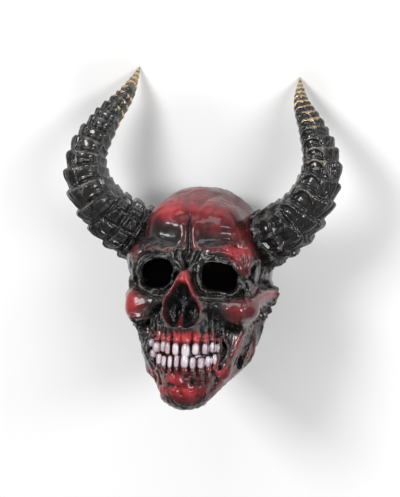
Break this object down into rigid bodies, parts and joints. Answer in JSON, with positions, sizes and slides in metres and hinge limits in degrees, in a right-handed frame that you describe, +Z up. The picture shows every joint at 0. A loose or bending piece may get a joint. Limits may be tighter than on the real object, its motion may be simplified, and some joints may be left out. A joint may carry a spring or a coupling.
{
  "type": "demon skull mask",
  "caption": "Full-head horned demon skull mask of painted latex, hollow, open at the neck and eyes, lying on its back.",
  "frame": {"origin": "on the surface that the mask lies on, under the middle of its bounding box", "axes": "+Z up out of the face, +Y towards the crown and the horn tips, +X to the right of someone looking at the face"},
  "size_m": [0.3326, 0.3622, 0.2296],
  "materials": {
    "red_painted_latex": "glossy deep red latex paint shaded with sprayed black, white teeth",
    "black_painted_latex": "glossy black latex paint, tips and crests brushed with dull gold"
  },
  "bodies": {
    "root": {"skull_skin": "red_painted_latex", "horn_right_hand": "black_painted_latex", "horn_left_hand": "black_painted_latex"}
  },
  "joints": []
}
